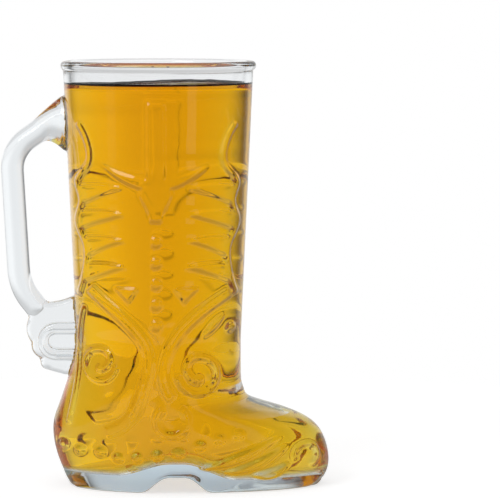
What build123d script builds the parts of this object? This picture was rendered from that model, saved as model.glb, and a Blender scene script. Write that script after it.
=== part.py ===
"""Beer mug of pressed glass in the form of a cowboy boot, in millimetres.

The boot stands on the ground plane with +Z up. The toe points along +X and the handle along -X, and the two
sides of the boot mirror each other across the plane Y = 0. Distances along X are counted from the axis of the
leg, and heights from the ground.
"""

import os
from math import hypot
from typing import NamedTuple

from build123d import *

# Overall reach from the axis of the leg, which puts the origin under the middle of the mug
toe_reach = 79.2
handle_reach = 73.1
leg_x = (handle_reach - toe_reach) / 2

# Glass
height = 197.0
wall = 3.6
rim_height = 4.3
rim_overhang = 1.3
rim_corner = 1.9

# Leg and foot
leg_top_radius = 44.0
ankle_radius = 38.2
heel_reach = 49.3
ball_half_width = 37.8
level_step = 4.0

# Sole
heel_floor = 8.6
arch_floor = 14.0
toe_floor = 6.5
floor_bend = 9.0
arch_height = 7.6
arch_start = -6.0
arch_end = 24.0
arch_slope = 9.0
arch_bend = 4.0

# Handle: drops are counted from the rim, insets from the handle's reach and rises from the ankle
bar_thickness = 10.8
bar_depth = 14.0
bar_root_drop = 24.0
flare_drop = 29.3
flare_half_height = 15.7
flare_half_depth = 10.5
flare_sink = 2.2
neck_out = 4.2
neck_drop = 28.4
neck_half_height = 10.4
neck_half_depth = 8.2
flare_length = 17.0
flare_inset = 0.4
shoulder_drop = 41.4
shoulder_bend = 17.0
shoulder_rounding = 0.5
elbow_inset = 8.5
elbow_rise = 24.2
elbow_bend = 25.0
bar_end_inset = 17.2
bar_end_rise = 13.4

# Spur, with insets and rises counted as on the handle
spur_depth = 11.0
lobe_bulge = 1.7
web_rise = 22.5
web_bend = 4.2
tail_drop = 19.0
spur_notches = [(13.9, -1.3), (18.5, -9.2), (21.8, -14.4)]
loop_depth = 14.0
loop_half_height = 7.2
loop_inset = 18.3
loop_rise = -1.3
loop_line = 2.2

# Raised ornament
relief = 1.2
border_width = 3.0
band_width = 5.0
strap_width = 8.4
cheek_half_width = 8.0
cheek_drop = 4.0
jaw_half_width = 3.6
jaw_rise = 4.0
muzzle_half_width = 2.6
horn_root = 2.5
horn_sag = 1.8
leaf_swell = 1.4
leaf_rows = 4
button_radius = 2.5
button_count = 5
instep_leaf_bow = 1.7
instep_stud_radius = 2.2
back_volute_radius = 7.2
front_volute_radius = 8.6
volute_line = 2.4
volute_turn_in = 0.62
volute_eye = 2.0
horseshoe_radius = 6.8
horseshoe_line = 3.4
horseshoe_gap = 70
stud_radius = 2.6
heel_rib_width = 2.2
flame_bow = 5.0
flame_swell = 4.2
toe_loop_radius = 5.4
toe_loop_line = 2.2
toe_loop_start = -60
toe_loop_turn = 260

# Places of the ornament on the leg in side view, as (share of the leg's radius, share of its height)
border_shares = [
    (0.843, 0.814),
    (0.734, 0.738),
    (0.742, 0.662),
    (0.869, 0.596),
    (0.828, 0.534),
    (0.889, 0.457),
    (0.807, 0.374),
    (0.816, 0.279),
    (0.91, 0.181),
]
strap_top = (0, 0.89)
poll = (0, 0.593)
muzzle = (0, 0.457)
horn_tip = (0.617, 0.674)
leaf_root_share = 0.734
leaf_tip_share = 0.33
leaf_top_share = 0.589
leaf_pitch_share = 0.0962
leaf_depth_share = 0.0762
leaf_tip_drop_share = 0.011
button_top_share = 0.385
button_pitch_share = 0.0762
dart_shares = [(0.494, 0.217), (0.203, 0.217), (0.319, 0.16)]
instep_leaf = [(0.797, 0.116), (0.547, 0.032)]
instep_stud = (0.866, 0.06)

# Places on the foot, as (share of the reach to toe or heel, share of the ankle's height)
back_volute = (-0.523, 0.868)
front_volute = (0.237, 0.801)
horseshoe = (0.088, 0.5)
welt_shares = [
    (-0.872, 0.309),
    (-0.72, 0.279),
    (-0.523, 0.279),
    (-0.357, 0.244),
    (-0.183, 0.247),
    (0.003, 0.265),
    (0.124, 0.279),
    (0.249, 0.329),
    (0.361, 0.375),
    (0.471, 0.404),
]
flame_shares = [
    ((0.227, 0.176), (0.73, 0.397)),
    ((0.379, 0.147), (0.758, 0.324)),
    ((0.543, 0.132), (0.758, 0.199)),
]
toe_loop = (0.859, 0.235)

# Lines that run from the leg on to the foot: their places on the leg, then those on the foot
back_band = (
    [(-0.771, 0.209), (-0.341, 0.088)],
    [(-0.071, 0.941), (-0.114, 0.735), (-0.213, 0.544), (-0.467, 0.412)],
)
front_band = ([(0.839, 0.192), (0.377, 0.088)], [(0.062, 0.956), (0.038, 0.838), (0.088, 0.647)])
heel_rib = ([(-0.859, 0.136), (-0.942, 0)], [(-0.738, 0.838), (-0.781, 0.618), (-0.832, 0.456)])

ground = Plane((leg_x, 0, 0))
side = Plane((leg_x, 0, 0), x_dir=(1, 0, 0), z_dir=(0, -1, 0))
leg_axis = Axis((leg_x, 0, 0), (0, 0, 1))
far = 200.0


class Station(NamedTuple):
    """One level of the foot: its reach to heel and toe, its half width, and where along X it is widest."""

    height: float
    heel: float
    toe: float
    half_width: float
    widest: float


# How far each level of the foot stays behind the reach of heel, toe and ball, from the ground to the instep
foot_rows = [
    (6.8, 4.8, 5.8, 6.0),
    (5.8, 2.0, 3.4, 6.0),
    (4.3, 0.4, 2.1, 6.0),
    (2.7, 0.0, 1.2, 6.0),
    (1.4, 0.5, 0.7, 6.0),
    (0.5, 1.5, 0.3, 6.0),
    (0.0, 3.2, 0.1, 6.0),
    (0.0, 6.1, 0.0, 5.5),
    (0.7, 11.8, 0.0, 4.5),
    (2.1, 22.2, 0.0, 3.0),
]
# How far each level up to the ankle stands proud of the ankle at heel and toe, and where it is widest
instep_rows = [
    (7.5, 5.4, 1.5),
    (6.1, 1.6, 0.5),
    (4.8, 0.4, 0.0),
    (3.5, 0.05, 0.0),
    (2.3, 0.0, 0.0),
    (1.2, 0.0, 0.0),
    (0.4, 0.0, 0.0),
    (0.0, 0.0, 0.0),
]

stations = []
for heel_short, toe_short, width_short, widest in foot_rows:
    level = len(stations) * level_step
    reaches = (heel_reach - heel_short, toe_reach - toe_short, ball_half_width - width_short)
    stations.append(Station(level, *reaches, widest))
for heel_proud, toe_proud, widest in instep_rows:
    level = len(stations) * level_step
    reaches = (ankle_radius + heel_proud, ankle_radius + toe_proud, ankle_radius)
    stations.append(Station(level, *reaches, widest))

ankle_height = stations[-1].height
leg_height = height - rim_height - ankle_height


def leg_radius(level):
    """Outer radius of the leg, a cone from the ankle to the rim."""
    return ankle_radius + (leg_top_radius - ankle_radius) * (level - ankle_height) / leg_height


def leg_point(across, up):
    """A place on the side view of the leg, from its shares of the leg's radius and height."""
    level = ankle_height + up * leg_height
    return (across * leg_radius(level), level)


def foot_point(along, up):
    """A place on the side view of the foot, from its shares of the reach to toe or heel and of the height."""
    return (along * (toe_reach if along > 0 else heel_reach), up * ankle_height)


def boot_line(leg_shares, foot_shares):
    """The places of a line that runs from the leg on to the foot."""
    return [leg_point(*place) for place in leg_shares] + [foot_point(*place) for place in foot_shares]


def between(level, field):
    """The value of a field of the stations at any level, on straight lines from station to station."""
    for low, high in zip(stations, stations[1:]):
        if level <= high.height:
            break
    share = (level - low.height) / (high.height - low.height)
    return getattr(low, field) + (getattr(high, field) - getattr(low, field)) * share


def moved_station(index, distance):
    """A station moved out by a distance, square to the line of the toe and instep."""
    here = stations[index]
    lift, forward = 0.0, distance
    if 0 < index < len(stations) - 1:
        below, above = stations[index - 1], stations[index + 1]
        rise, run = above.height - below.height, above.toe - below.toe
        lift, forward = -distance * run / hypot(rise, run), distance * rise / hypot(rise, run)
    level = here.height + lift
    heel = between(level, "heel") + distance
    half_width = between(level, "half_width") + distance
    return Station(level, heel, here.toe + forward, half_width, between(level, "widest"))


def leg_form(distance):
    """The solid cone of the leg with its skin moved out by a distance."""
    with BuildPart() as form:
        with Locations((leg_x, 0, ankle_height)):
            foot_up = (Align.CENTER, Align.CENTER, Align.MIN)
            Cone(ankle_radius + distance, leg_top_radius + distance, leg_height, align=foot_up)
    return form.part


def boot_form(distance):
    """The solid boot with its skin moved out by a distance: a foot lofted through its levels, and the leg."""
    with BuildPart() as form:
        for index in range(len(stations)):
            level = moved_station(index, distance)
            with BuildSketch(ground.offset(level.height)):
                with BuildLine():
                    centre = (level.widest, 0)
                    EllipticalCenterArc(centre, level.toe - level.widest, level.half_width, -90, arc_size=180)
                    EllipticalCenterArc(centre, level.heel + level.widest, level.half_width, 90, arc_size=180)
                make_face()
        loft()
        add(leg_form(distance))
    return form.part


outside = boot_form(0)
cavity = boot_form(-wall)

# Everything under the upper face of the sole, as a block across the boot
with BuildPart() as under_floor:
    with BuildSketch(side):
        with BuildLine():
            floor_line = FilletPolyline(
                (-far, heel_floor),
                (arch_start - arch_slope, heel_floor),
                (arch_start + arch_slope, arch_floor),
                (arch_end - arch_slope, arch_floor),
                (arch_end + arch_slope, toe_floor),
                (far, toe_floor),
                radius=floor_bend,
            )
            Polyline(floor_line @ 1, (far, -far), (-far, -far), floor_line @ 0)
        make_face()
    extrude(amount=far, both=True)

# Wall of the leg, a plain cone, and of the foot, which the sole closes below
with BuildPart() as boot_wall:
    add(outside)
    add(under_floor.part, mode=Mode.SUBTRACT)
    add(cavity, mode=Mode.SUBTRACT)
ankle = Plane((leg_x, 0, ankle_height))
leg = split(boot_wall.part, bisect_by=ankle, keep=Keep.TOP)
foot = split(boot_wall.part, bisect_by=ankle, keep=Keep.BOTTOM)

# Heel, arch and front sole in one plate
with BuildPart() as sole:
    add(outside)
    add(under_floor.part, mode=Mode.INTERSECT)
    with BuildSketch(side):
        with BuildLine():
            arch_line = FilletPolyline(
                (arch_start, 0),
                (arch_start + arch_slope, arch_height),
                (arch_end - arch_slope, arch_height),
                (arch_end, 0),
                radius=arch_bend,
            )
            Polyline(arch_line @ 1, (arch_end, -arch_height), (arch_start, -arch_height), arch_line @ 0)
        make_face()
    extrude(amount=far, both=True, mode=Mode.SUBTRACT)

# Thick drinking rim on the end of the wall
with BuildPart() as rim_bead:
    with BuildSketch(side):
        with Locations((leg_top_radius - wall, height)):
            bead = Rectangle(wall + rim_overhang, rim_height, align=(Align.MIN, Align.MAX))
        upper = bead.vertices().group_by(Axis.Z)[-1]
        outer = bead.vertices().group_by(Axis.X)[-1]
        fillet(set(upper + outer), rim_corner)
    revolve(axis=leg_axis)

# Oval bar that leaves the leg under the rim, turns down at its shoulder and comes back at its elbow
bar_root_height = height - bar_root_drop
flare_height = height - flare_drop
neck_height = height - neck_drop
bar_end = (bar_end_inset - handle_reach, ankle_height + bar_end_rise)
elbow = (elbow_inset - handle_reach, ankle_height + elbow_rise)
with BuildPart() as handle:
    with BuildLine(side):
        bar_path = FilletPolyline(
            (-leg_radius(bar_root_height), bar_root_height),
            (bar_thickness / 2 - handle_reach - shoulder_rounding, height - shoulder_drop),
            elbow,
            bar_end,
            radius=[shoulder_bend, elbow_bend],
        )
    with BuildSketch(Plane(bar_path @ 0, x_dir=(0, 1, 0), z_dir=bar_path % 0)):
        Ellipse(bar_depth / 2, bar_thickness / 2)
    sweep(path=bar_path)
    flare_x = leg_x - leg_radius(flare_height) + flare_sink
    neck_x = leg_x - leg_radius(neck_height) - neck_out
    flare_end = flare_length / bar_path.length
    with BuildSketch(Plane((flare_x, 0, flare_height), x_dir=(0, 1, 0), z_dir=(-1, 0, 0))):
        Ellipse(flare_half_depth, flare_half_height)
    with BuildSketch(Plane((neck_x, 0, neck_height), x_dir=(0, 1, 0), z_dir=(-1, 0, 0))):
        Ellipse(neck_half_depth, neck_half_height)
    with BuildSketch(Plane(bar_path @ flare_end, x_dir=(0, 1, 0), z_dir=bar_path % flare_end)):
        Ellipse(bar_depth / 2 - flare_inset, bar_thickness / 2 - flare_inset)
    loft()
    add(leg_form(0), mode=Mode.SUBTRACT)

# Scalloped plate between the bar's end and the leg, with a raised loop that opens to the leg
web_height = ankle_height + web_rise
with BuildPart() as spur:
    with BuildSketch(side):
        with BuildLine():
            last_run = (Vector(bar_end) - Vector(elbow)).normalized()
            bar_side = Vector(-last_run.Y, last_run.X) * (bar_thickness / 2)
            bar_inner, bar_outer = Vector(bar_end) + bar_side, Vector(bar_end) - bar_side
            web_leg = (wall - leg_radius(web_height), web_height)
            web_middle = (-leg_radius(web_height) - web_bend, web_height - web_bend)
            tail_leg = (wall - ankle_radius, ankle_height - tail_drop)
            ThreePointArc(web_leg, web_middle, bar_inner)
            Line(bar_inner, bar_outer)
            notches = [bar_outer]
            for inset, rise in spur_notches:
                notches.append(Vector(inset - handle_reach, ankle_height + rise))
            for upper_notch, lower_notch in zip(notches, notches[1:]):
                SagittaArc(upper_notch, lower_notch, -lobe_bulge)
            Line(notches[-1], tail_leg)
            Line(tail_leg, web_leg)
        make_face()
    extrude(amount=spur_depth / 2, both=True)
    with BuildSketch(side):
        loop_x = loop_inset - handle_reach + loop_half_height
        with Locations((loop_x, ankle_height + loop_rise)):
            Circle(loop_half_height)
            loop_run = wall - ankle_radius - loop_x
            Rectangle(loop_run, 2 * loop_half_height, align=(Align.MIN, Align.CENTER))
        offset(amount=-loop_line, mode=Mode.SUBTRACT)
    extrude(amount=loop_depth / 2, both=True)
    add(outside, mode=Mode.SUBTRACT)

# Skin of raised glass around the boot, which every ornament is cut from
with BuildPart() as skin:
    add(boot_form(relief))
    add(outside, mode=Mode.SUBTRACT)

# Strap with a steer head and its horns
poll_x, poll_height = leg_point(*poll)
muzzle_x, muzzle_height = leg_point(*muzzle)
strap_x, strap_height = leg_point(*strap_top)
with BuildPart() as steer_heads:
    with BuildSketch(side):
        with Locations((strap_x, poll_height)):
            Rectangle(strap_width, strap_height - poll_height, align=(Align.CENTER, Align.MIN))
        with BuildLine():
            Polyline(
                (poll_x, poll_height),
                (strap_width / 2, poll_height),
                (cheek_half_width, poll_height - cheek_drop),
                (jaw_half_width, muzzle_height + jaw_rise),
                (muzzle_half_width, muzzle_height),
                (muzzle_x, muzzle_height),
                close=True,
            )
        make_face()
        with BuildLine():
            horn_under = (cheek_half_width - horn_root, poll_height - horn_root)
            horn_over = (strap_width / 2, poll_height + horn_root)
            SagittaArc(horn_under, leg_point(*horn_tip), -horn_sag)
            SagittaArc(leg_point(*horn_tip), horn_over, horn_sag / 2)
            Line(horn_over, (strap_width / 2, poll_height - horn_root))
            Line((strap_width / 2, poll_height - horn_root), horn_under)
        make_face()
        mirror(about=Plane.YZ)
    extrude(amount=far, both=True)
    add(skin.part, mode=Mode.INTERSECT)

with BuildPart() as wave_borders:
    with BuildSketch(side):
        with BuildLine():
            Spline(*[leg_point(*place) for place in border_shares])
        trace(line_width=border_width)
        mirror(about=Plane.YZ)
    extrude(amount=far, both=True)
    add(skin.part, mode=Mode.INTERSECT)

with BuildPart() as fringe_leaves:
    with BuildSketch(side):
        for row in range(leaf_rows):
            with BuildLine():
                top = leaf_top_share - row * leaf_pitch_share
                root = leg_point(leaf_root_share, top)
                tip = leg_point(leaf_tip_share, top - leaf_tip_drop_share)
                heel = leg_point(leaf_root_share, top - leaf_depth_share)
                SagittaArc(root, tip, -leaf_swell)
                SagittaArc(tip, heel, leaf_swell)
                Line(heel, root)
            make_face()
        mirror(about=Plane.YZ)
    extrude(amount=far, both=True)
    add(skin.part, mode=Mode.INTERSECT)

with BuildPart() as button_studs:
    with BuildSketch(side):
        for row in range(button_count):
            with Locations(leg_point(0, button_top_share - row * button_pitch_share)):
                Circle(button_radius)
    extrude(amount=far, both=True)
    add(skin.part, mode=Mode.INTERSECT)

with BuildPart() as side_darts:
    with BuildSketch(side):
        with BuildLine():
            Polyline(*[leg_point(*place) for place in dart_shares], close=True)
        make_face()
        mirror(about=Plane.YZ)
    extrude(amount=far, both=True)
    add(skin.part, mode=Mode.INTERSECT)

# A leaf and a stud on each side of the instep
with BuildPart() as instep_leaves:
    with BuildSketch(side):
        with BuildLine():
            leaf_start, leaf_end = [leg_point(*place) for place in instep_leaf]
            SagittaArc(leaf_start, leaf_end, -instep_leaf_bow)
            SagittaArc(leaf_end, leaf_start, -instep_leaf_bow)
        make_face()
        with Locations(leg_point(*instep_stud)):
            Circle(instep_stud_radius)
    extrude(amount=far, both=True)
    add(skin.part, mode=Mode.INTERSECT)

with BuildPart() as scroll_bands:
    with BuildSketch(side):
        for band in (back_band, front_band):
            with BuildLine():
                Spline(*boot_line(*band))
            trace(line_width=band_width)
    extrude(amount=far, both=True)
    add(skin.part, mode=Mode.INTERSECT)

# Spirals that start beside the band, run round under their eye and turn in at the top
with BuildPart() as volutes:
    with BuildSketch(side):
        spirals = ((back_volute, back_volute_radius, -1), (front_volute, front_volute_radius, 1))
        for place, radius, turn in spirals:
            x, z = foot_point(*place)
            inner_radius = radius * volute_turn_in
            inner_z = z + radius - inner_radius
            with BuildLine():
                CenterArc((x, z), radius, 90 + 90 * turn, 270 * turn)
                CenterArc((x, inner_z), inner_radius, 90, 180 * turn)
            trace(line_width=volute_line)
            with Locations((x, inner_z - inner_radius)):
                Circle(volute_eye)
    extrude(amount=far, both=True)
    add(skin.part, mode=Mode.INTERSECT)

with BuildPart() as horseshoes:
    with BuildSketch(side):
        with BuildLine():
            open_angle = 90 + horseshoe_gap / 2
            CenterArc(foot_point(*horseshoe), horseshoe_radius, open_angle, 360 - horseshoe_gap)
        trace(line_width=horseshoe_line)
    extrude(amount=far, both=True)
    add(skin.part, mode=Mode.INTERSECT)

with BuildPart() as welt_studs:
    with BuildSketch(side):
        with Locations(*[foot_point(*place) for place in welt_shares]):
            Circle(stud_radius)
    extrude(amount=far, both=True)
    add(skin.part, mode=Mode.INTERSECT)

# Flames that run forward to the toe, and the loop at its tip
with BuildPart() as toe_flames:
    with BuildSketch(side):
        for start, end in flame_shares:
            with BuildLine():
                SagittaArc(foot_point(*start), foot_point(*end), -flame_bow)
                SagittaArc(foot_point(*end), foot_point(*start), flame_bow - flame_swell)
            make_face()
        with BuildLine():
            CenterArc(foot_point(*toe_loop), toe_loop_radius, toe_loop_start, toe_loop_turn)
        trace(line_width=toe_loop_line)
    extrude(amount=far, both=True)
    add(skin.part, mode=Mode.INTERSECT)

with BuildPart() as heel_ribs:
    with BuildSketch(side):
        with BuildLine():
            Spline(*boot_line(*heel_rib))
        trace(line_width=heel_rib_width)
    extrude(amount=far, both=True)
    add(skin.part, mode=Mode.INTERSECT)

pieces = {
    "leg": leg,
    "foot": foot,
    "sole": sole.part,
    "rim_bead": rim_bead.part,
    "handle": handle.part,
    "spur": spur.part,
    "steer_heads": steer_heads.part,
    "wave_borders": wave_borders.part,
    "fringe_leaves": fringe_leaves.part,
    "button_studs": button_studs.part,
    "side_darts": side_darts.part,
    "instep_leaves": instep_leaves.part,
    "scroll_bands": scroll_bands.part,
    "volutes": volutes.part,
    "horseshoes": horseshoes.part,
    "welt_studs": welt_studs.part,
    "toe_flames": toe_flames.part,
    "heel_ribs": heel_ribs.part,
}
os.makedirs("parts", exist_ok=True)
for label, piece in pieces.items():
    piece.label = label
    export_step(piece, f"parts/{label}.step")
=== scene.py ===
# %% [markdown]
# # A boot of pressed glass, full of beer
# The real mug is one piece of glass, pressed in a mould: a cowboy boot with a bar handle, a spur and raised ornament.
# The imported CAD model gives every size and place, as separate solids. Clear glass shows each facet and each inner
# wall, so this lesson measures the solids and builds one smooth, closed skin over them. All lengths are in metres.

# %% Load the frame
import math

import bmesh
import bpy
import numpy as np
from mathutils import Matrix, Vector
from mathutils.bvhtree import BVHTree


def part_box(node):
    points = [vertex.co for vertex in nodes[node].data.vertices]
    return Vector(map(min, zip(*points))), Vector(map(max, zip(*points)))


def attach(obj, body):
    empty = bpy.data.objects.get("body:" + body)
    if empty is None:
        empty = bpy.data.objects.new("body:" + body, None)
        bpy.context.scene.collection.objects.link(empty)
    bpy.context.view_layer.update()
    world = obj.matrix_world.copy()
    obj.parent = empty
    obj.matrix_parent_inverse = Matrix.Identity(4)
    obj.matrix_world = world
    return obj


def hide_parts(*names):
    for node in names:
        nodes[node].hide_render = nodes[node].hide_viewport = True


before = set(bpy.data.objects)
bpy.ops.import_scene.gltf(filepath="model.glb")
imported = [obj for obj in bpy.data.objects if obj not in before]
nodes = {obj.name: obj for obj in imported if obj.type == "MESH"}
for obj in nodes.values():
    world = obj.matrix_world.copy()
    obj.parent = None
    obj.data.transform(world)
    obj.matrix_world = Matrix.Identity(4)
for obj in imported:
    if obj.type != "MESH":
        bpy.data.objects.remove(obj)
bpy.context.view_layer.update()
MM = 0.001

# %% [markdown]
# ## Helpers for colours and nodes
# Colours are written as sRGB hex codes, as on a screen, while shaders count light in linear values, so one function
# turns the first into the second. Node trees are long to write by hand. One function adds a node with its settings
# and inputs, and one adds a Math node, so that a line reads like a formula.


# %% Colours and nodes
def colour(code):
    """Linear colour from an sRGB hex code."""
    values = [int(code[i : i + 2], 16) / 255 for i in (1, 3, 5)]
    return tuple(v / 12.92 if v <= 0.04045 else ((v + 0.055) / 1.055) ** 2.4 for v in values) + (1.0,)


def add_node(tree, kind, settings=None, **inputs):
    """A new node. Inputs are values or sockets, and an underscore in a name stands for a space."""
    node = tree.nodes.new(kind)
    for name, value in (settings or {}).items():
        setattr(node, name, value)
    for name, value in inputs.items():
        socket = node.inputs[int(name[1:])] if name[1:].isdigit() else node.inputs[name.replace("_", " ")]
        if isinstance(value, bpy.types.NodeSocket):
            tree.links.new(value, socket)
        else:
            socket.default_value = value
    return node


def calc(tree, operation, *values):
    """The result of a Math node."""
    inputs = {f"_{index}": value for index, value in enumerate(values)}
    return add_node(tree, "ShaderNodeMath", {"operation": operation}, **inputs).outputs[0]


SMOOTH = {"interpolation_type": "SMOOTHSTEP"}
print("mid grey in linear light:", round(colour("#808080")[0], 3))

# %% [markdown]
# ## Helpers for meshes
# A part that fits beside others keeps its place in its mesh, with its object at the origin. One helper turns points
# and faces into such an object, one bakes modifiers into a plain mesh, and one copies CAD solids to work on.


# %% Meshes
def link(name, mesh):
    """A new object at the origin."""
    made = bpy.data.objects.new(name, mesh)
    bpy.context.scene.collection.objects.link(made)
    return made


def new_object(name, points, faces):
    """A smooth mesh object with outward normals."""
    mesh = bpy.data.meshes.new(name)
    mesh.from_pydata(points, [], faces)
    work = bmesh.new()
    work.from_mesh(mesh)
    if work.calc_volume(signed=True) < 0:
        bmesh.ops.reverse_faces(work, faces=work.faces)
    work.to_mesh(mesh)
    work.free()
    mesh.shade_smooth()
    return link(name, mesh)


def baked(name, source):
    """A plain mesh object made from another object with its modifiers, which is then removed."""
    graph = bpy.context.evaluated_depsgraph_get()
    mesh = bpy.data.meshes.new_from_object(source.evaluated_get(graph), depsgraph=graph)
    mesh.shade_smooth()
    bpy.data.objects.remove(source)
    mesh.name = name
    return link(name, mesh)


def joined(name, names):
    """A new object with the meshes of some CAD nodes."""
    work = bmesh.new()
    for node in names:
        work.from_mesh(nodes[node].data)
    mesh = bpy.data.meshes.new(name)
    work.to_mesh(mesh)
    work.free()
    return link(name, mesh)


def mesh_points(mesh):
    """The vertices of a mesh as an array."""
    points = np.zeros(len(mesh.vertices) * 3)
    mesh.vertices.foreach_get("co", points)
    return points.reshape(-1, 3)


print("points in the CAD leg:", len(mesh_points(nodes["leg"].data)))

# %% [markdown]
# ## Measure the boot
# The CAD model is the drawing that everything here follows. The rim of the mug is round, so its box and its inner
# radius say all about it.

# %% Measure the rim
rim_low, rim_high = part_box("rim_bead")
leg_x = (rim_low.x + rim_high.x) / 2
rim_reach = (rim_high.y - rim_low.y) / 2
rim_base, rim_top = rim_low.z, rim_high.z
rim_points = mesh_points(nodes["rim_bead"].data)
bore = np.hypot(rim_points[:, 0] - leg_x, rim_points[:, 1]).min()
print("rim across mm:", round(2 * rim_reach / MM, 2), "bore radius mm:", round(bore / MM, 2))

# %% [markdown]
# ## Measure the levels
# Under the rim, the boot changes from a round leg to a long foot. Its CAD mesh is made of facets, which would glitter
# in clear glass. So it isn't copied. Each level is only measured: how far it reaches to heel and toe, how wide it is,
# and where it is widest.


# %% Cut the levels
def cut(names, level):
    """Points where the edges of some CAD nodes cross a level, counted from the middle of the leg."""
    found = []
    for name in names:
        mesh = nodes[name].data
        ends = np.array([edge.vertices[:] for edge in mesh.edges])
        start, end = mesh_points(mesh)[ends[:, 0]], mesh_points(mesh)[ends[:, 1]]
        crossing = (start[:, 2] - level) * (end[:, 2] - level) < 0
        start, end = start[crossing], end[crossing]
        share = (level - start[:, 2]) / (end[:, 2] - start[:, 2])
        found.append(start + (end - start) * share[:, None])
    return np.vstack(found) - (leg_x, 0, 0)


def measure(level):
    """Reach to heel and toe, half width, and the place of the widest point, of one level."""
    points = cut(["leg", "foot", "sole"], level)
    heel, toe = -points[:, 0].min(), points[:, 0].max()
    slices = np.floor(points[:, 0] / SLICE).astype(int)
    groups = [points[slices == number] for number in np.unique(slices)]
    outer = np.array([group[np.abs(group[:, 1]).argmax()] for group in groups])
    best = None
    for widest in WIDEST_TRIES:
        reach = np.where(outer[:, 0] > widest, toe - widest, heel + widest)
        share = ((outer[:, 0] - widest) / reach) ** 2
        sides = share < SIDE_SHARE
        width = np.abs(outer[sides][:, 1]) / np.sqrt(1 - share[sides])
        if best is None or width.std() < best[0]:
            best = (width.std(), np.median(width), widest)
    return heel, toe, best[1], best[2]


LEVEL_STEP = 4 * MM
NUDGE = 0.05 * MM  # keeps the cuts off the joints between solids
SLICE = 2 * MM  # in each slice from heel to toe, only the outermost point counts
WIDEST_TRIES = np.arange(-1, 8, 0.1) * MM
SIDE_SHARE = 0.8  # the ends of the half ellipses say little about the width
levels = np.arange(0, rim_base, LEVEL_STEP)
measured = np.array([measure(level + NUDGE) for level in levels])
print("levels:", len(levels), "toe reach mm:", round(measured[:, 1].max() / MM, 2))

# %% [markdown]
# ## A smooth boot
# Straight lines between the levels would leave a crease at each of them, which glass shows as a dark ring. A cubic
# spline keeps its value, slope and bend from level to level, so the four measures are known at every height.


# %% Spline through the levels
def spline(values):
    """Second derivatives of the natural cubic spline through evenly spaced values."""
    count = len(values)
    system = np.eye(count)
    target = np.zeros_like(values)
    for row in range(1, count - 1):
        system[row, row - 1 : row + 2] = (1, 4, 1)
        target[row] = 6 * (values[row - 1] - 2 * values[row] + values[row + 1]) / LEVEL_STEP**2
    return np.linalg.solve(system, target)


bends = spline(measured)


def shape_at(heights):
    """The four measures at any heights."""
    index = np.clip((heights / LEVEL_STEP).astype(int), 0, len(levels) - 2)
    b = ((heights - levels[index]) / LEVEL_STEP)[..., None]
    a = 1 - b
    curve = ((a**3 - a) * bends[index] + (b**3 - b) * bends[index + 1]) * LEVEL_STEP**2 / 6
    return a * measured[index] + b * measured[index + 1] + curve


print("toe reach at 30 mm:", round(shape_at(np.array(30 * MM))[1] / MM, 2))

# %% [markdown]
# ## Points on the skin
# Every level is made of two half ellipses, one to the heel and one to the toe, which meet at the widest place. So an
# angle and a height give a point of the skin. The direction straight out of the glass is found by small steps along
# the skin, and the thickness of the wall is measured along it.


# %% Skin and its normals
def skin(angles, heights):
    """Points of the plain outer skin."""
    heel, toe, half, widest = np.moveaxis(shape_at(heights), -1, 0)
    reach = np.where(np.cos(angles) > 0, toe - widest, heel + widest)
    return np.stack([leg_x + widest + reach * np.cos(angles), half * np.sin(angles), heights], -1)


def skin_normal(angles, heights):
    """Outward normals of the plain outer skin."""
    turn, lift = 1e-4, 0.1 * MM  # small steps around and up
    along = skin(angles + turn, heights) - skin(angles - turn, heights)
    up = skin(angles, heights + lift) - skin(angles, heights - lift)
    normal = np.cross(along, up)
    return normal / np.linalg.norm(normal, axis=-1, keepdims=True)


taper = (measured[-1, 2] - measured[-2, 2]) / LEVEL_STEP
wall = measured[-1, 2] + taper * (rim_base - levels[-1]) - bore
print("wall mm:", round(wall / MM, 2))

# %% [markdown]
# ## The sole
# The sole of the real boot is a thick slab, thinner under heel and toe than over the arch. Its faces are free curves,
# so they are read off the CAD sole along the middle of the boot, straight down and straight up, and rounded a little.


# %% Profiles of the sole
def profile(direction):
    """Heights of the sole's upper or lower face along its middle line, as (x, height) arrays."""
    low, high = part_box("sole")
    places = np.linspace(low.x + 1 * MM, high.x - 1 * MM, PROFILE_POINTS)
    heights = []
    for x in places:
        start = Vector((x, BESIDE_MIDDLE, -direction * RAY_START))
        hit, point, _, _ = nodes["sole"].ray_cast(start, Vector((0, 0, direction)))
        heights.append(point.z if hit else 0.0)
    padded = np.pad(heights, 3, mode="edge")
    return places, np.convolve(padded, np.ones(7) / 7, mode="valid")


PROFILE_POINTS = 160
BESIDE_MIDDLE = 0.3 * MM  # a ray exactly on the middle line could slip between two faces
RAY_START = 0.5  # far above or below the sole
floor_profile, under_profile = profile(-1), profile(1)
print("floor mm:", [round(v / MM, 1) for v in (floor_profile[1].min(), floor_profile[1].max())],
      "arch mm:", round(under_profile[1].max() / MM, 1))

# %% [markdown]
# ## The outside in rings
# A pressed mug has one unbroken skin: under the sole, up the outside, over the rim, down the inside and across the
# floor. It could be cut from solids, but that leaves seams. Here it is a stack of rings with the same number of points,
# so that neighbours join into even faces. The points lie closer together on the two sides, where the ornament is.

# %% Rings of the outside
COLUMNS = 192
CROWDING = 0.13  # draws the points of a ring together on the two sides
ARCH_REACH = 18 * MM  # rings up to this height follow the arch
SOLE_LINE = 4 * MM  # height at which the outline of the sole is read
even = np.linspace(0, 2 * np.pi, COLUMNS, endpoint=False)
ring = even + CROWDING * np.sin(2 * even)


def under_at(angles):
    """Height of the underside at the outline of the sole."""
    return np.interp(skin(angles, np.full_like(angles, SOLE_LINE))[:, 0], *under_profile)


def outer_row(height, inset=0.0):
    """One ring of the outside. Low rings follow the arch of the sole."""
    follow = max(0.0, 1 - height / ARCH_REACH)
    heights = height + under_at(ring) * follow
    return skin(ring, heights) - skin_normal(ring, heights) * (1, 1, 0) * inset


print("arch at the side mm:", round(under_at(ring).max() / MM, 2))

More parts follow.
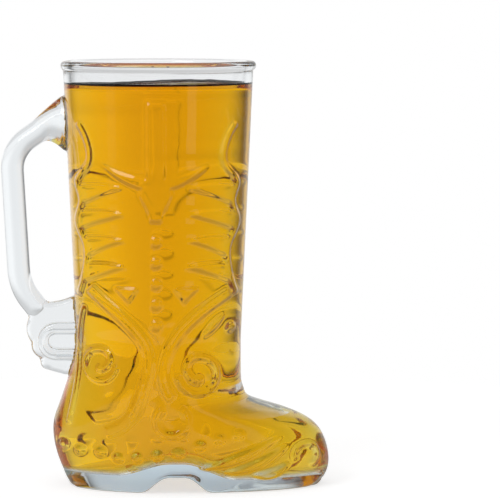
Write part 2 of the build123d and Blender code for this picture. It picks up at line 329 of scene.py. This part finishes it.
# %% [markdown]
# ## The inside in rings
# A plunger shapes the inside of a pressed glass, so it is as smooth as the outside and keeps an even wall. Its rings
# lie one wall thickness under the outer skin. At the bottom they round the corner to the floor, which a plunger
# needs to come out of the glass again.

# %% Rings of the inside
CORNER = 4 * MM
CORNER_ANGLES = (25, 50, 75, 90)
FLOOR_LINE = 14 * MM  # height at which the outline of the floor is read


def inner_row(share, depth, top):
    """One ring of the inside wall at a share of its height, a depth under the outer skin, up to a top height."""
    outline = skin(ring, np.full_like(ring, FLOOR_LINE))
    start = np.interp(outline[:, 0], *floor_profile) + CORNER
    heights = start + (top - start) * share
    return skin(ring, heights) - skin_normal(ring, heights) * depth


def floor_rows(depth, drop):
    """Rings that round the corner from the wall to the floor of the inside."""
    rows = []
    wall_row = inner_row(0.0, depth, rim_base)
    inward = skin_normal(ring, wall_row[:, 2]) * (1, 1, 0)
    for angle in np.radians(CORNER_ANGLES):
        row = wall_row - inward * CORNER * (1 - math.cos(angle))
        row[:, 2] = np.interp(row[:, 0], *floor_profile) + CORNER * (1 - math.sin(angle)) - drop
        rows.append(row)
    return rows


print("rings round the corner:", len(floor_rows(wall, 0)))

# %% [markdown]
# ## The rim
# The drinking edge is a bead, thicker than the wall, so that it is strong and soft on the lips. It is a turned form:
# the same few arcs at every angle, which a formula gives without any facet.

# %% Rings of the rim
BEAD_RADIUS = 1.9 * MM
ARC_POINTS = 5


def rim_rows():
    """Rings of the round bead at the top."""
    out, inner = rim_reach - BEAD_RADIUS, bore + BEAD_RADIUS
    low, high = rim_base + BEAD_RADIUS, rim_top - BEAD_RADIUS
    rows = []
    arcs = ((out, low, -70, 0), (out, high, 0, 90), (inner, high, 90, 180))  # middle, height, degrees from and to
    for centre, height, start, end in arcs:
        for angle in np.radians(np.linspace(start, end, ARC_POINTS)):
            reach = centre + BEAD_RADIUS * math.cos(angle)
            z = np.full_like(ring, height + BEAD_RADIUS * math.sin(angle))
            rows.append(np.stack([leg_x + reach * np.cos(ring), reach * np.sin(ring), z], -1))
    return rows


print("rings of the bead:", len(rim_rows()))

# %% [markdown]
# ## Join the rings
# Each ring is joined to the next by a band of four-sided faces. The first and the last ring are closed by strips that
# run across the boot, from one side to the other. Their heights come from the profiles of the sole, so the arch
# runs straight through under the boot, as the mould makes it.

# %% A closed skin
STRIPS = 14


def end_lines(points, base, height):
    """Lines of points across the boot that fill one end ring."""
    lines = []
    for c in range(COLUMNS // 2 + 1):
        left, right = base + c, base + (COLUMNS - c) % COLUMNS
        line = [left]
        if left != right:
            for k in range(1, STRIPS):
                point = np.array(points[left]) * (1 - k / STRIPS) + np.array(points[right]) * k / STRIPS
                point[2] = height(point[0])
                line.append(len(points))
                points.append(tuple(point))
            line.append(right)
        lines.append(line)
    return lines


def closed_tube(name, rows, first_height, last_height):
    """An object through all the rings, closed at both ends at heights given by x."""
    points = [tuple(p) for row in rows for p in row]
    faces = []
    for r in range(len(rows) - 1):
        for c in range(COLUMNS):
            n = (c + 1) % COLUMNS
            low, high = r * COLUMNS, (r + 1) * COLUMNS
            faces.append((low + c, low + n, high + n, high + c))
    for base, height, flip in ((0, first_height, True), ((len(rows) - 1) * COLUMNS, last_height, False)):
        lines = end_lines(points, base, height)
        for one, two in zip(lines, lines[1:]):
            for k in range(STRIPS):
                a, b = one[min(k, len(one) - 1)], one[min(k + 1, len(one) - 1)]
                d, e = two[min(k, len(two) - 1)], two[min(k + 1, len(two) - 1)]
                face = tuple(dict.fromkeys((a, d, e, b)))
                faces.append(face if not flip else face[::-1])
    return new_object(name, points, faces)

print("corners of a ring:", COLUMNS)

# %% [markdown]
# ## The plain glass
# Now the rings are put in order, from the edge of the sole up the outside, over the rim and down the inside to the
# floor. They lie about a millimetre apart on the outside, close enough to carry the ornament, and far wider inside,
# where nothing is raised.

# %% Build the plain glass
EDGE = 0.9 * MM  # how round the lower edge of the sole is
FOOT_TOP = 46 * MM
INNER_RINGS = 24
foot_heights = np.arange(EDGE, FOOT_TOP, 1.15 * MM)
leg_heights = np.arange(FOOT_TOP, rim_base - 0.4 * MM, 1.25 * MM)
rows = [outer_row(0, EDGE), outer_row(0.25 * EDGE, 0.3 * EDGE)]
rows += [outer_row(height) for height in (*foot_heights, *leg_heights)]
rows += rim_rows()
rows += [inner_row(share, wall, rim_base) for share in np.linspace(1, 0, INNER_RINGS)]
rows += floor_rows(wall, 0)
glass = closed_tube(
    "plain_glass", rows, lambda x: np.interp(x, *under_profile), lambda x: np.interp(x, *floor_profile)
)
print("rings:", len(rows), "faces:", len(glass.data.polygons))

# %% [markdown]
# ## The ornament
# The ornament was cut into the mould, so it stands about a millimetre proud of the wall, and fire-polishing has
# rounded its edges. A bump map would draw it, but wouldn't bend the light on its way through. So the skin itself is
# raised where the CAD ornament lies. Each motif has its own ridge: its height, the width of its soft edge, how far
# its middle is hollow, and how far it stays inside its outline, all in millimetres.

# %% Ridges of the motifs
RIDGES_MM = {
    "steer_heads": (1.0, 1.0, 0.25, 0.0),
    "wave_borders": (1.15, 1.3, 0.0, 0.0),
    "fringe_leaves": (1.1, 0.9, 0.35, 0.0),
    "welt_studs": (1.15, 0.8, 0.3, 0.4),
}
OTHER_RIDGE_MM = (1.15, 0.8, 0.3, 0.0)
MAIN_NODES = ("leg", "foot", "sole", "rim_bead", "handle", "spur")
others = [name for name in nodes if name not in MAIN_NODES and name not in RIDGES_MM]
ornaments = {name: joined(f"{name}_solids", [name]) for name in RIDGES_MM}
ornaments["others"] = joined("other_solids", others)
print("ridges of their own:", len(RIDGES_MM), "motifs with the common ridge:", len(others))

# %% [markdown]
# ## Leaves that grow out of the border
# On the mug, the leaves of the fringe grow out of the wavy border. The CAD leaves end on a straight line beside it,
# which would show as a hard edge. Instead of bending the leaves, each point of the skin looks its leaf up at a place
# nearer to the middle of the leg, which stretches every leaf to the border.

# %% Stretch the leaves
STRETCH_FROM = 0.5  # leaves stay as they are up to this share of the radius
BORDER_LEVELS = 24


def across_share(points):
    """How far points lie from the middle of the leg, as a share of their radius."""
    return np.abs(points[:, 0]) / np.maximum(np.hypot(points[:, 0], points[:, 1]), 1e-9)


leaf_low, leaf_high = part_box("fringe_leaves")
leaf_end = across_share(mesh_points(nodes["fringe_leaves"].data) - (leg_x, 0, 0)).max()
border_heights = np.linspace(leaf_low.z, leaf_high.z, BORDER_LEVELS)
border_shares = [across_share(cut(["wave_borders"], height)).mean() for height in border_heights]


def leaf_places(points):
    """Where each point of the skin finds its leaf."""
    middle = points - (leg_x, 0, 0)
    radius = np.hypot(middle[:, 0], middle[:, 1])
    share = across_share(middle)
    border = np.interp(points[:, 2], border_heights, border_shares)
    squeezed = STRETCH_FROM + (share - STRETCH_FROM) * (leaf_end - STRETCH_FROM) / (border - STRETCH_FROM)
    share = np.where(share > STRETCH_FROM, np.clip(squeezed, 0, 1), share)
    x = np.sign(middle[:, 0]) * radius * share
    y = np.sign(middle[:, 1]) * radius * np.sqrt(1 - share**2)
    return np.stack([leg_x + x, y, points[:, 2]], -1)


print("leaves end at share:", round(leaf_end, 3))
print("border at share:", round(min(border_shares), 3), "to", round(max(border_shares), 3))

# %% [markdown]
# ## Finer faces along the edges
# The edges of the ornament bend light the most, and coarse faces would make them jagged. A finer mesh everywhere would
# be heavy. So only faces close to a side wall of the ornament are split, and the new points are set on the skin again.

# %% Split faces near the edges
WALL_TILT = 0.02  # a side wall faces across the boot by less than this
EDGE_REACH = 1.75 * MM


def side_walls(source):
    """A search tree of the faces of an ornament that stand straight across the boot."""
    mesh = source.data
    faces = [f.vertices[:] for f in mesh.polygons if abs(f.normal.y) < WALL_TILT]
    return BVHTree.FromPolygons([v.co for v in mesh.vertices], faces)


def near_edges(centres):
    """Which places lie close to the edge of an ornament."""
    found = np.zeros(len(centres), bool)
    for name, source in ornaments.items():
        walls = side_walls(source)
        places = leaf_places(centres) if name == "fringe_leaves" else centres
        found |= [walls.find_nearest(Vector(place), EDGE_REACH)[0] is not None for place in places]
    return found


def set_on_skin(vertices):
    """Moves vertices level on to the plain outer skin."""
    spots = np.array([v.co for v in vertices])
    heel, toe, half, widest = shape_at(spots[:, 2]).T
    x = spots[:, 0] - leg_x - widest
    angles = np.arctan2(spots[:, 1] / half, x / np.where(x > 0, toe - widest, heel + widest))
    for vertex, spot in zip(vertices, skin(angles, spots[:, 2])):
        vertex.co = spot


work = bmesh.new()
work.from_mesh(glass.data)
old_count = len(work.verts)
close = near_edges(np.array([face.calc_center_median() for face in work.faces]))
edges = {edge for face, near in zip(work.faces, close) if near for edge in face.edges}
bmesh.ops.subdivide_edges(work, edges=list(edges), cuts=1, use_grid_fill=True)
work.verts.ensure_lookup_table()
set_on_skin(work.verts[old_count:])
print("points added near the ornament:", len(work.verts) - old_count)
work.to_mesh(glass.data)
work.free()
glass.data.shade_smooth()

# %% [markdown]
# ## Ridges in Geometry Nodes
# Geometry Nodes can ask every point of a surface the same question. Here they ask how far the nearest side wall of an
# ornament is, and whether the point lies under that ornament. From this signed distance comes a soft ridge. Where
# two ornaments meet, the higher ridge counts, so a leaf runs into its border without a step.


# %% One ridge
def ridge(tree, source, place, height, edge, hollow, inset):
    """The lift of a soft ridge with a hollow middle over the solids of one object."""
    solids = add_node(tree, "GeometryNodeObjectInfo", Object=source).outputs["Geometry"]
    normal = add_node(tree, "GeometryNodeInputNormal").outputs[0]
    across = calc(tree, "ABSOLUTE", add_node(tree, "ShaderNodeSeparateXYZ", Vector=normal).outputs["Y"])
    flat = calc(tree, "GREATER_THAN", across, WALL_TILT)
    faces = {"domain": "FACE"}
    walls = add_node(tree, "GeometryNodeDeleteGeometry", faces, Geometry=solids, Selection=flat).outputs[0]
    near = {"target_element": "FACES"}
    to_wall = add_node(tree, "GeometryNodeProximity", near, _0=walls, Source_Position=place).outputs["Distance"]
    to_any = add_node(tree, "GeometryNodeProximity", near, _0=solids, Source_Position=place).outputs["Distance"]
    under = calc(tree, "LESS_THAN", to_any, calc(tree, "MULTIPLY", to_wall, 0.5))
    side = calc(tree, "MULTIPLY_ADD", under, 2.0, -1.0)
    depth = calc(tree, "MULTIPLY_ADD", to_wall, side, -inset)
    rise = {"From_Min": -0.4 * edge, "From_Max": edge, "To_Max": height}
    dip = {"From_Min": edge, "From_Max": 2.4 * edge, "To_Max": hollow}
    raised = add_node(tree, "ShaderNodeMapRange", SMOOTH, Value=depth, **rise).outputs[0]
    sunk = add_node(tree, "ShaderNodeMapRange", SMOOTH, Value=depth, **dip).outputs[0]
    return calc(tree, "SUBTRACT", raised, sunk)


def relief_group():
    """Geometry Nodes that raise all the ornament on the skin."""
    tree = bpy.data.node_groups.new("raise_ornament", "GeometryNodeTree")
    tree.interface.new_socket("Geometry", in_out="INPUT", socket_type="NodeSocketGeometry")
    for name in ornaments:
        tree.interface.new_socket(name, in_out="INPUT", socket_type="NodeSocketObject")
    tree.interface.new_socket("glass", in_out="INPUT", socket_type="NodeSocketMaterial")
    tree.interface.new_socket("Geometry", in_out="OUTPUT", socket_type="NodeSocketGeometry")
    start = add_node(tree, "NodeGroupInput").outputs
    here = add_node(tree, "GeometryNodeInputPosition").outputs[0]
    stored = {"data_type": "FLOAT_VECTOR"}
    stretched = add_node(tree, "GeometryNodeInputNamedAttribute", stored, Name="leaf_place").outputs[0]
    lift = 0.0
    for name in ornaments:
        sizes = [size * MM for size in RIDGES_MM.get(name, OTHER_RIDGE_MM)]
        place = stretched if name == "fringe_leaves" else here
        lift = calc(tree, "MAXIMUM", ridge(tree, start[name], place, *sizes), lift)
    lift = add_node(tree, "GeometryNodeBlurAttribute", {"data_type": "FLOAT"}, Value=lift, Iterations=2).outputs[0]
    out = add_node(tree, "GeometryNodeInputNormal").outputs[0]
    move = add_node(tree, "ShaderNodeVectorMath", {"operation": "SCALE"}, _0=out, Scale=lift).outputs[0]
    raised = add_node(tree, "GeometryNodeSetPosition", Geometry=start["Geometry"], Offset=move).outputs[0]
    real = add_node(tree, "GeometryNodeRealizeInstances", Geometry=raised).outputs[0]
    done = add_node(tree, "GeometryNodeSetMaterial", Geometry=real, Material=start["glass"]).outputs[0]
    add_node(tree, "NodeGroupOutput", Geometry=done)
    return tree

print("soft edge of a common ridge mm:", OTHER_RIDGE_MM[1])

# %% [markdown]
# ## Raise the ornament
# The node group is set on the plain glass as a modifier and then made plain mesh, because an exporter and the next
# steps need real points. The places where the leaves are looked up travel with the mesh as an attribute.

# %% Bake the relief
clear_glass = bpy.data.materials.new("clear pressed glass")
before = mesh_points(glass.data)
stored_places = glass.data.attributes.new("leaf_place", "FLOAT_VECTOR", "POINT")
stored_places.data.foreach_set("vector", leaf_places(before).ravel())
relief = glass.modifiers.new("relief", "NODES")
relief.node_group = relief_group()
values = {**ornaments, "glass": clear_glass}
for item in relief.node_group.interface.items_tree:
    if item.in_out == "INPUT" and item.name in values:
        relief[item.identifier] = values[item.name]
glass = baked("glass_with_relief", glass)
glass.data.attributes.remove(glass.data.attributes["leaf_place"])
for solids in ornaments.values():
    bpy.data.objects.remove(solids)
print("highest relief mm:", round(np.linalg.norm(mesh_points(glass.data) - before, axis=1).max() / MM, 2))

# %% [markdown]
# ## Handle and spur
# The handle and the spur are pressed in the same mould, and fire-polishing rounds all their edges. They keep the CAD
# form. A bevel would have to follow every corner by itself, so their meshes are remade in small even cells instead and
# smoothed, which rounds whatever is sharp.

# %% Remake the handle and the spur
bar = joined("bar_and_spur", ["handle", "spur"])
cells = bar.modifiers.new("cells", "REMESH")
cells.mode = "VOXEL"
cells.voxel_size = 0.7 * MM
polish = bar.modifiers.new("polish", "SMOOTH")
polish.factor = 0.5
polish.iterations = 12
bar = baked("bar_and_spur_round", bar)
print("points of handle and spur:", len(bar.data.vertices))

# %% [markdown]
# ## The round edge of the spur
# The spur is a flat plate with a scalloped outline. Light that goes through its rounded edge is bent aside, which
# draws the dark line around it. More smoothing would melt the scallops, so the outline stays, and the plate only
# gets thinner toward it, along a quarter of a circle.


# %% Round the plate
def outside_by(points):
    """How far points stand outside the plain skin, measured level across the boot."""
    heel, toe, half, widest = shape_at(np.clip(points[:, 2], 0, levels[-1])).T
    x = points[:, 0] - leg_x - widest
    reach = np.where(x > 0, toe - widest, heel + widest)
    share = np.maximum(np.hypot(x / reach, points[:, 1] / half), 1e-9)
    return (1 - 1 / share) * np.hypot(x, points[:, 1])


def plate_edge():
    """A search tree of the free outline of the plate, and half the plate's depth."""
    mesh = nodes["spur"].data
    corners = mesh_points(mesh)
    bar_mesh = nodes["handle"].data
    bar_tree = BVHTree.FromPolygons([v.co for v in bar_mesh.vertices], [f.vertices[:] for f in bar_mesh.polygons])
    faces = []
    for face in mesh.polygons:
        ends = corners[list(face.vertices)]
        through = abs(face.normal.y) < WALL_TILT and ends[:, 1].min() < 0 < ends[:, 1].max()
        off_leg = outside_by(ends).min() > 1 * MM
        off_bar = bar_tree.find_nearest(face.center, 1.5 * MM)[0] is None
        if through and off_leg and off_bar:
            faces.append(face.vertices[:])
    half = max(abs(corners[index][1]) for face in faces for index in face)
    return BVHTree.FromPolygons([v.co for v in mesh.vertices], faces), half


ROUND = 2.2 * MM  # radius of the plate's edge
outline, half_depth = plate_edge()
points = mesh_points(bar.data)
for point in points:
    distance = outline.find_nearest(Vector(point), ROUND)[3]
    if distance is not None:
        point[1] *= 1 - (ROUND - math.sqrt(ROUND**2 - (ROUND - distance) ** 2)) / half_depth
bar.data.vertices.foreach_set("co", points.ravel())
print("half depth of the plate mm:", round(half_depth / MM, 2))

# %% [markdown]
# ## Join them to the boot
# In the mould, handle and boot are one glass. A wall left inside would show as a dark disc. So the ends at the leg
# are pushed a little into the wall, and a union makes one skin of it.

# %% Union with the boot
PUSH = 2.1 * MM  # how far the ends go into the wall
PUSH_FROM, PUSH_FADE = 0.3 * MM, 1.2 * MM  # points closer than the first are pushed in full
points = mesh_points(bar.data)
gap = outside_by(points)
points[:, 0] += np.clip(1 - (gap - PUSH_FROM) / PUSH_FADE, 0, 1) * PUSH
bar.data.vertices.foreach_set("co", points.ravel())
join = glass.modifiers.new("join", "BOOLEAN")
join.operation = "UNION"
join.solver = "MANIFOLD"
join.object = bar
glass = baked("boot_glass", glass)
bpy.data.objects.remove(bar)
print("points of the joined glass:", len(glass.data.vertices))

# %% [markdown]
# ## Smooth the seam
# Glass flows together where two masses meet, so there is no sharp seam on the mug. A few rounds of smoothing on the
# points close to the seam do the same. Where faces of the union only touch along an edge, that edge is drawn together
# to a point, so that the skin stays closed.

# %% Soften and close
SEAM_REACH = 1.6 * MM
SEAM_HALF_WIDTH = 13 * MM
SEAM_ROUNDS = 6
work = bmesh.new()
work.from_mesh(glass.data)
gap = np.abs(outside_by(np.array([v.co for v in work.verts])))
behind = leg_x - 30 * MM  # the handle's side of the leg
seam = [
    vertex
    for vertex, distance in zip(work.verts, gap)
    if distance < SEAM_REACH and vertex.co.x < behind and abs(vertex.co.y) < SEAM_HALF_WIDTH
]
for _ in range(SEAM_ROUNDS):
    bmesh.ops.smooth_vert(work, verts=seam, factor=0.5, use_axis_x=True, use_axis_y=True, use_axis_z=True)
bmesh.ops.triangulate(work, faces=[f for f in work.faces if len(f.verts) > 4])
bmesh.ops.collapse(work, edges=[e for e in work.edges if len(e.link_faces) != 2])
bmesh.ops.delete(work, geom=[v for v in work.verts if not v.link_faces], context="VERTS")
open_edges = sum(1 for e in work.edges if len(e.link_faces) != 2)
work.to_mesh(glass.data)
work.free()
glass.data.shade_smooth()
glass.data.materials.clear()
glass.data.materials.append(clear_glass)
glass.data.calc_loop_triangles()
print("glass triangles:", len(glass.data.loop_triangles), "open edges:", open_edges)

# %% [markdown]
# ## The beer
# The beer fills the inside up to a finger's breadth under the rim. A skin exactly on the glass would flicker, and one
# beside it would leave a film of air. So the beer reaches a quarter of a millimetre into the glass, and light goes
# straight from one to the other. At the wall the beer climbs a little, which draws the dark line around its surface.

# %% Pour the beer
BEER_LEVEL = 185.6 * MM
BEER_RINGS = 40
SINK = 0.25 * MM  # how far the beer reaches into the glass
CLIMB = 1.5 * MM  # how high it climbs at the wall
CLIMB_CURVE = ((0.25, 0.57), (0.65, 0.31), (1.3, 0.11), (2.2, 0.025), (3.4, 0.0))  # mm from the wall, share of CLIMB
rows = floor_rows(wall - SINK, SINK)[::-1]
rows += [inner_row(share, wall - SINK, BEER_LEVEL + CLIMB) for share in np.linspace(0, 1, BEER_RINGS)]
edge_row = rows[-1]
for inset, height in CLIMB_CURVE:
    row = edge_row - skin_normal(ring, edge_row[:, 2]) * (1, 1, 0) * inset * MM
    row[:, 2] = BEER_LEVEL + CLIMB * height
    rows.append(row)
beer = closed_tube("beer", rows, lambda x: np.interp(x, *floor_profile) - SINK, lambda x: BEER_LEVEL)
work = bmesh.new()
work.from_mesh(beer.data)
print("beer litres:", round(work.calc_volume() * 1000, 3), "faces:", len(beer.data.polygons))
work.free()

# %% [markdown]
# ## Where the beer touches
# Glass mirrors a part of the light because it bends light so much more than air does. Beer bends it nearly as much as
# glass, so a wet wall mirrors hardly anything, while dry glass and the open surface of the beer do. The faces that
# mirror are marked with an attribute, for the materials to read.


# %% Mark the faces that mirror
def mark_mirrors(piece, chosen):
    """Stores on each face of a piece whether it mirrors."""
    stored = piece.data.attributes.new("mirrors", "FLOAT", "FACE")
    stored.data.foreach_set("value", chosen.astype(float))
    print(piece.name, "faces that mirror:", chosen.sum(), "of", len(chosen))


centres = np.array([face.center for face in glass.data.polygons])
over_floor = centres[:, 2] > np.interp(centres[:, 0], *floor_profile) - 1 * MM
wet = (outside_by(centres) < -wall / 2) & over_floor & (centres[:, 2] < BEER_LEVEL)
mark_mirrors(glass, ~wet)
UPWARD = 0.2  # even the steep rim of the beer's surface faces up by more than this
surface = [face.normal.z > UPWARD and face.center.z > rim_base / 2 for face in beer.data.polygons]
mark_mirrors(beer, np.array(surface))

# %% [markdown]
# ## Glass
# Soda-lime glass bends light by an index near 1.5 and is polished, so it has no roughness. Its colour comes from how
# much light each metre takes away. A little iron takes red, so thin walls look clear and the thick sole looks cool.
# Pressed glass is never quite flat: the mould and the flame leave soft waves about a centimetre apart.


# %% Glass material
def clear_material(material, ior, tint, density):
    """A smooth clear material. A tint of white absorbs nothing, and the density is per metre."""
    material.use_nodes = True
    tree = material.node_tree
    shader = tree.nodes["Principled BSDF"]
    shader.inputs["Base Color"].default_value = colour("#FFFFFF")
    shader.inputs["Roughness"].default_value = 0.0
    shader.inputs["IOR"].default_value = ior
    mirrors = add_node(tree, "ShaderNodeAttribute", {"attribute_name": "mirrors"}).outputs["Fac"]
    tree.links.new(mirrors, shader.inputs["Specular Tint"])
    shader.inputs["Transmission Weight"].default_value = 1.0
    volume = add_node(tree, "ShaderNodeVolumeAbsorption", Color=colour(tint), Density=density)
    tree.links.new(volume.outputs[0], tree.nodes["Material Output"].inputs["Volume"])
    return tree, shader


# Iron takes red from the light, so the eye sees thin glass clear and thick glass cool, as in the sole.
tree, shader = clear_material(clear_glass, ior=1.5, tint="#00A8D0", density=5.8)
# The waves make lights and edges swim a little, as the eye expects of pressed glass.
WAVE_LENGTH = 11 * MM
WAVE_HEIGHT = 0.05 * MM
place = add_node(tree, "ShaderNodeTexCoord").outputs["Object"]
ripple = add_node(tree, "ShaderNodeTexNoise", Vector=place, Scale=1 / WAVE_LENGTH, Detail=1.0).outputs["Fac"]
wave = add_node(tree, "ShaderNodeBump", Height=ripple, Strength=1.0, Distance=WAVE_HEIGHT)
tree.links.new(wave.outputs["Normal"], shader.inputs["Normal"])
print("glass nodes:", len(tree.nodes))

# %% [markdown]
# ## Beer in the light
# Beer bends light like water with a little sugar, an index of 1.34. It takes away nearly all blue and some green.
# So a thin layer at the edge looks yellow, and the middle of the leg, eight centimetres deep, looks amber, without any
# painted gradient.

# %% Beer material and the pieces
beer_material = bpy.data.materials.new("amber beer")
# Nearly all blue is lost within a centimetre, so the eye sees yellow at the edges and amber in the middle.
clear_material(beer_material, ior=1.34, tint="#FCEE00", density=90.0)
beer.data.materials.append(beer_material)
for piece, slot in ((glass, "clear_glass"), (beer, "beer")):
    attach(piece, "root")
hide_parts(*nodes)
print("materials:", [m.name for m in bpy.data.materials if m.users])

# %% [markdown]
# ## A room for glass
# Clear glass is only seen by what it bends into view. A photographer stands it before a bright panel and keeps dark
# gaps beside the panel, which draw the edges. The same is done here. The panel ahead fades upward and downward, so
# that the edges of the ornament, which bend light that way, show as darker lines in the middle of the leg too. More
# panels stand behind, at the sides, above and below.

# %% Panels and gaps
PANEL_MIDDLE = (0.052, 0.9986, 0.0)  # direction of the panel ahead, a little to the right
BRIGHT_LINE = -0.084  # how high the panel ahead is brightest, as a share of the way straight up
GAP_LIGHT = 0.2
MIRROR_LIGHT = 0.12


def fade(tree, value, start, end, first, last):
    """A soft change from a first to a last result while a value goes from start to end."""
    limits = {"From_Min": start, "From_Max": end, "To_Min": first, "To_Max": last}
    return add_node(tree, "ShaderNodeMapRange", SMOOTH, Value=value, **limits).outputs[0]


def panel_light(tree):
    """How bright the room is in each direction."""
    direction = add_node(tree, "ShaderNodeTexCoord").outputs["Generated"]
    parts = add_node(tree, "ShaderNodeSeparateXYZ", Vector=direction).outputs
    ahead = {"_0": direction, "_1": PANEL_MIDDLE}
    toward = add_node(tree, "ShaderNodeVectorMath", {"operation": "DOT_PRODUCT"}, **ahead).outputs["Value"]
    turned = calc(tree, "ARCCOSINE", toward)
    tilt = calc(tree, "ABSOLUTE", calc(tree, "SUBTRACT", parts["Z"], BRIGHT_LINE))
    aside = calc(tree, "ABSOLUTE", parts["X"])
    light = 1.0
    for limits in (
        (turned, 0.5, 1.0, 1.0, 0.0),  # the panel ends in a dark gap
        (turned, 0.03, 0.25, 0.93, 1.0),  # a little dimmer in its middle
        (parts["X"], -0.22, 0.28, 0.91, 1.05),  # brighter to the right
        (tilt, 0.04, 0.3, 1.0, 0.65),  # fades upward and downward
    ):
        light = calc(tree, "MULTIPLY", light, fade(tree, *limits))
    for limits in (
        (parts["Y"], -0.4, -0.62, 0.0, 0.8),  # behind the camera
        (aside, 0.74, 0.86, 0.0, 0.9),  # both sides
        (parts["X"], 0.62, 0.72, 0.0, 0.9),  # the right side reaches further ahead
        (parts["Z"], -0.15, -0.22, 0.0, 1.0),  # below
        (parts["Z"], 0.35, 0.55, 0.0, 0.8),  # above
    ):
        light = calc(tree, "MAXIMUM", light, fade(tree, *limits))
    return calc(tree, "MAXIMUM", light, GAP_LIGHT)


def mirror_light(tree):
    """How bright the room is in mirror images: bright ahead, most to the left, and dim behind the camera."""
    direction = add_node(tree, "ShaderNodeTexCoord").outputs["Generated"]
    parts = add_node(tree, "ShaderNodeSeparateXYZ", Vector=direction).outputs
    ahead = fade(tree, parts["Y"], 0.66, 0.9, MIRROR_LIGHT, 1.0)
    return calc(tree, "MULTIPLY", ahead, fade(tree, parts["X"], -0.3, 0.3, 1.0, 0.65))


print("direction of the panel ahead:", PANEL_MIDDLE)

# %% [markdown]
# ## What each ray sees
# The eye sees plain white around the mug, as in the photograph. Only rays that have come through glass see the panels.
# Mirror images show a dim room in front of the mug, so that they don't veil the beer, and a bright one behind it, which
# whitens the outermost edges, where glass mirrors most. The floor is lit by a softer room.

# %% World
ROOM_LIGHT, EYE_LIGHT = 0.6, 1.0
world = bpy.data.worlds.new("studio")
bpy.context.scene.world = world
world.use_nodes = True
tree = world.node_tree
tree.nodes.clear()
path = add_node(tree, "ShaderNodeLightPath").outputs
room, mirror, through, eye = (
    add_node(tree, "ShaderNodeBackground", Color=colour("#FFFFFF"), Strength=strength).outputs[0]
    for strength in (ROOM_LIGHT, mirror_light(tree), panel_light(tree), EYE_LIGHT)
)
mix = add_node(tree, "ShaderNodeMixShader", _0=path["Is Glossy Ray"], _1=room, _2=mirror).outputs[0]
mix = add_node(tree, "ShaderNodeMixShader", _0=path["Is Transmission Ray"], _1=mix, _2=through).outputs[0]
mix = add_node(tree, "ShaderNodeMixShader", _0=path["Is Camera Ray"], _1=mix, _2=eye).outputs[0]
add_node(tree, "ShaderNodeOutputWorld", Surface=mix)
print("world nodes:", len(tree.nodes))

# %% [markdown]
# ## The floor
# The photograph has no floor, only white. A disc of white paper under the boot keeps its soft shadow, which tells the
# eye that it stands. The paper glows a little, so that it fades into the white around it.

# %% Floor
FLOOR_RADIUS, FLOOR_CORNERS = 0.4, 96
EYE_GLOW, GLASS_GLOW = 0.63, 0.42  # for the eye, and for rays that have come through glass
turns = np.linspace(0, 2 * np.pi, FLOOR_CORNERS, endpoint=False)
corners = [(FLOOR_RADIUS * math.cos(t), FLOOR_RADIUS * math.sin(t), 0) for t in turns]
floor = new_object("floor", corners, [tuple(range(FLOOR_CORNERS))])
floor_material = bpy.data.materials.new("white paper")
floor_material.use_nodes = True
tree = floor_material.node_tree
# Paper is matt, so the eye sees an even white with no mirror image of the mug.
paper = tree.nodes["Principled BSDF"].inputs
paper["Base Color"].default_value = colour("#CFCFCF")
paper["Roughness"].default_value = 0.9
paper["Specular IOR Level"].default_value = 0.0
paper["Emission Color"].default_value = colour("#FFFFFF")
path = add_node(tree, "ShaderNodeLightPath").outputs
for_eye = calc(tree, "MULTIPLY", path["Is Camera Ray"], EYE_GLOW)
glow = calc(tree, "MULTIPLY_ADD", path["Is Transmission Ray"], GLASS_GLOW, for_eye)
tree.links.new(glow, paper["Emission Strength"])
floor.data.materials.append(floor_material)
print("floor corners:", len(floor.data.vertices))

# %% [markdown]
# ## Lights
# A large softbox from the upper left gives the shadow, and two tall strips leave faint bright lines on the round wall,
# as in a studio for bottles. They are hidden from rays that come through the glass, which only see the panels.


# %% Softboxes
def soft_light(name, place, aim, width, height, watts):
    """A softbox that points at a place."""
    data = bpy.data.lights.new(name, "AREA")
    data.shape = "RECTANGLE"
    data.energy, data.size, data.size_y = watts, width, height
    light = bpy.data.objects.new(name, data)
    light.location = place
    light.rotation_euler = (Vector(aim) - Vector(place)).to_track_quat("-Z", "Y").to_euler()
    light.visible_transmission = False
    bpy.context.scene.collection.objects.link(light)


soft_light("key", (-0.5, -0.7, 0.75), (0, 0, 0.1), width=0.45, height=0.45, watts=2.5)
soft_light("left strip", (-0.62, -0.4, 0.36), (0, 0, 0.3), width=0.16, height=0.7, watts=0.06)
soft_light("right strip", (0.5, -0.55, 0.36), (0, 0, 0.3), width=0.16, height=0.7, watts=0.15)
print("lights:", len(bpy.data.lights))

# %% [markdown]
# ## Camera
# The photograph looks at the side of the boot from a little above, with a long lens: the rim shows as a thin ellipse,
# and nothing is distorted. Light crosses many walls here, so the paths may be long.

# %% Camera and view
aim = Vector((leg_x + 42.5 * MM, 0, 109.6 * MM))
camera_data = bpy.data.cameras.new("camera")
camera_data.lens = 233.3  # millimetres, which is long
camera_data.sensor_width = 36
camera = bpy.data.objects.new("camera", camera_data)
camera.location = (aim.x, -1.5, 0.236)
camera.rotation_euler = (aim - camera.location).to_track_quat("-Z", "Y").to_euler()
scene = bpy.context.scene
scene.collection.objects.link(camera)
scene.camera = camera
scene.view_settings.view_transform = "Standard"
WALLS_CROSSED = 40
scene.cycles.max_bounces = WALLS_CROSSED
scene.cycles.transmission_bounces = WALLS_CROSSED
scene.cycles.glossy_bounces = 16
print("camera at mm:", [round(v / MM, 1) for v in camera.location])
